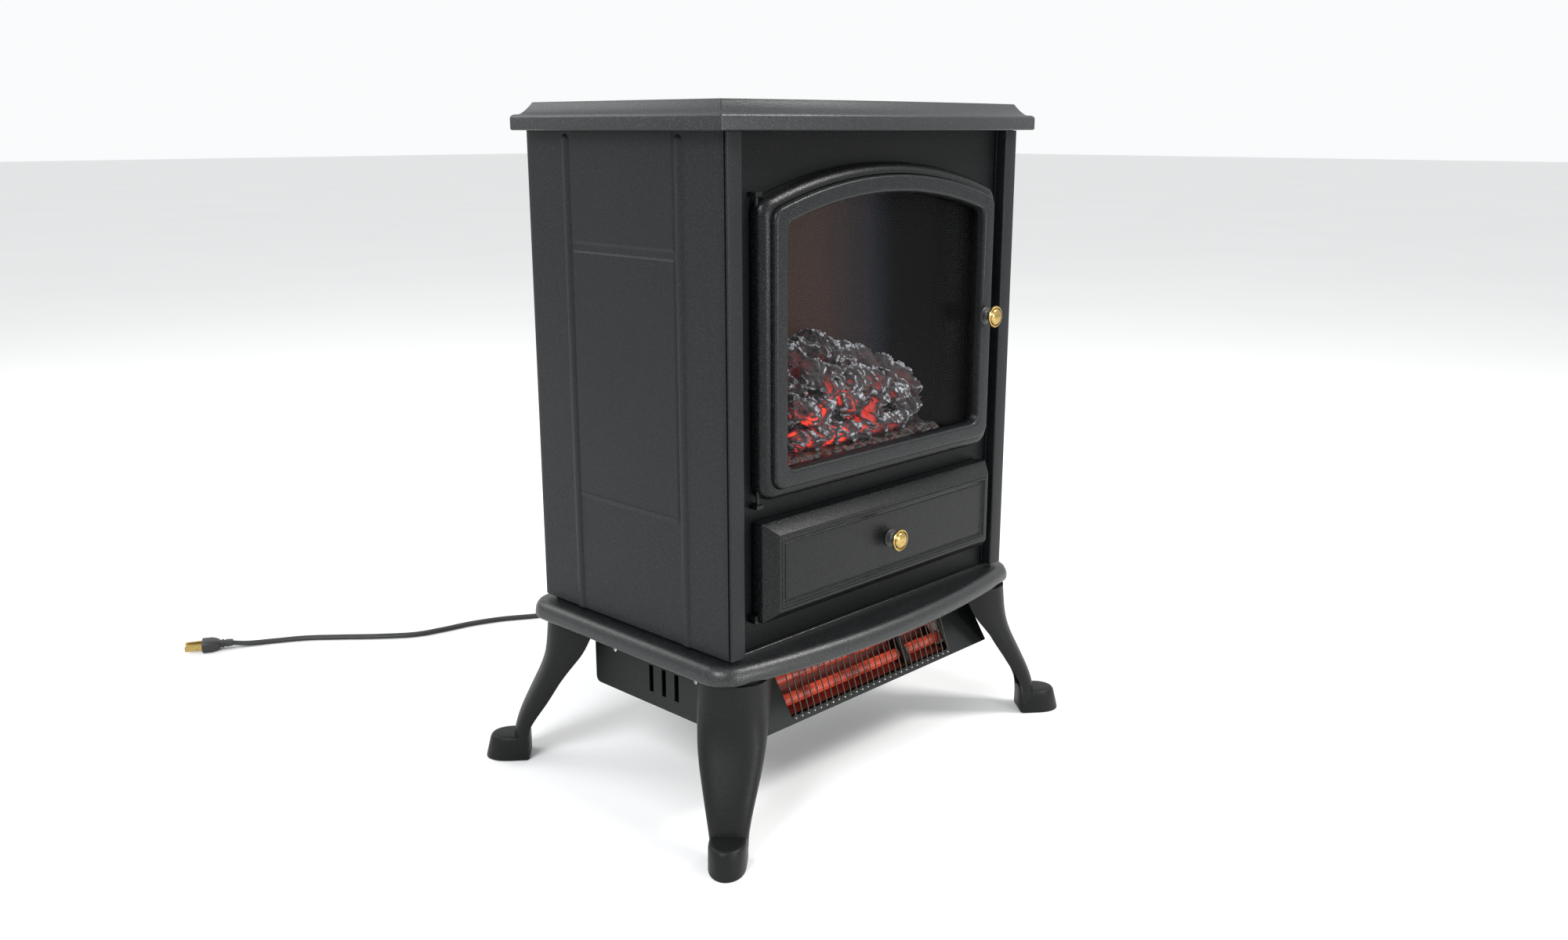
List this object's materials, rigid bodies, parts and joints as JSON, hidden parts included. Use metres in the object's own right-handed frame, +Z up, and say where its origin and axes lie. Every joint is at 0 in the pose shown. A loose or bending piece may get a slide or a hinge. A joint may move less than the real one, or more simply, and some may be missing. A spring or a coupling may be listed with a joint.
{
  "type": "electric stove fireplace",
  "caption": "Black freestanding electric stove with an arched glass door over a log effect, a drop-down control flap, cast legs and a quartz heater under the base.",
  "frame": {"origin": "on the floor, at the centre of the footprint of the four toes", "axes": "+Z up, -Y out of the front with the door, +X to the right of someone who looks at the front"},
  "size_m": [0.5291, 0.7501, 0.5603],
  "materials": {
    "black powder coat": "fine-textured satin powder coat",
    "black cast metal": "fine-textured satin enamel",
    "brass": "polished",
    "bright steel": "bright",
    "galvanised steel": "dull zinc",
    "black plastic": "satin",
    "flexible black": "satin",
    "smoked acrylic": "smoked, translucent",
    "ember resin": "translucent, lit from below",
    "log resin": "painted bark",
    "lamp glass": "frosted",
    "door glass": "clear, slightly smoked",
    "quartz glass": "glowing",
    "ceramic": "matt",
    "guard wire": "heat-tinted"
  },
  "bodies": {
    "stove": {"left_corner_post": "black powder coat", "right_corner_post": "black powder coat", "left_side_panel": "black powder coat", "right_side_panel": "black powder coat", "back_panel": "black powder coat", "fascia_panel": "black powder coat", "top_plate": "black powder coat", "firebox_ceiling": "black powder coat", "firebox_left_cheek": "black powder coat", "firebox_right_cheek": "black powder coat", "control_panel": "black powder coat", "heater_box": "black powder coat", "base_plate": "black cast metal", "leg_front_left": "black cast metal", "leg_front_right": "black cast metal", "leg_rear_left": "black cast metal", "leg_rear_right": "black cast metal", "reflector": "bright steel", "door_hinge_lower": "black cast metal", "door_hinge_upper": "black cast metal", "flap_hinge_left": "black cast metal", "flap_hinge_right": "black cast metal", "firebox_floor": "galvanised steel", "flicker_motor": "galvanised steel", "thermostat_body": "galvanised steel", "spindle_bearing": "black plastic", "left_lamp_holder": "black plastic", "right_lamp_holder": "black plastic", "door_catch": "black plastic", "flame_switch_housing": "black plastic", "heat_switch_housing": "black plastic", "strain_relief": "flexible black", "cord_lead": "flexible black", "cord_coil": "flexible black", "cord_run": "flexible black", "cord_tie": "flexible black", "plug": "flexible black", "flame_screen": "smoked acrylic", "ember_bed": "ember resin", "log_set": "log resin", "left_lamp": "lamp glass", "right_lamp": "lamp glass", "upper_quartz_tube": "quartz glass", "lower_quartz_tube": "quartz glass", "left_tube_holder": "ceramic", "right_tube_holder": "ceramic", "guard_grille": "guard wire"},
    "door": {"door_frame": "black cast metal", "door_trim": "black cast metal", "door_glass": "door glass", "door_knob": "brass", "door_knob_stem": "black plastic", "door_strike": "bright steel"},
    "flap": {"control_flap": "black cast metal", "flap_knob": "brass", "flap_knob_stem": "black plastic"},
    "flicker": {"flicker_spindle": "bright steel"},
    "flame_switch": {"flame_switch_rocker": "black plastic"},
    "heat_switch": {"heat_switch_rocker": "black plastic"},
    "thermostat": {"thermostat_dial": "black plastic"}
  },
  "joints": [
    {"name": "door_swing", "type": "hinge", "parent": "stove", "child": "door", "pos_m": [-0.14, -0.108, 0.39125], "axis": [0, 0, -1], "range_deg": [0, 100]},
    {"name": "flap_drop", "type": "hinge", "parent": "stove", "child": "flap", "pos_m": [0, -0.1085, 0.175], "axis": [1, 0, 0], "range_deg": [0, 80]},
    {"name": "flicker_spin", "type": "hinge", "parent": "stove", "child": "flicker", "pos_m": [0, -0.035, 0.33], "axis": [1, 0, 0], "continuous": true},
    {"name": "flame_switch_rock", "type": "hinge", "parent": "stove", "child": "flame_switch", "pos_m": [-0.07, -0.084, 0.212], "axis": [-1, 0, 0], "range_deg": [0, 10]},
    {"name": "heat_switch_rock", "type": "hinge", "parent": "stove", "child": "heat_switch", "pos_m": [-0.02, -0.084, 0.212], "axis": [-1, 0, 0], "range_deg": [0, 10]},
    {"name": "thermostat_turn", "type": "hinge", "parent": "stove", "child": "thermostat", "pos_m": [0.06, -0.0898, 0.212], "axis": [0, -1, 0], "range_deg": [0, 270]}
  ]
}
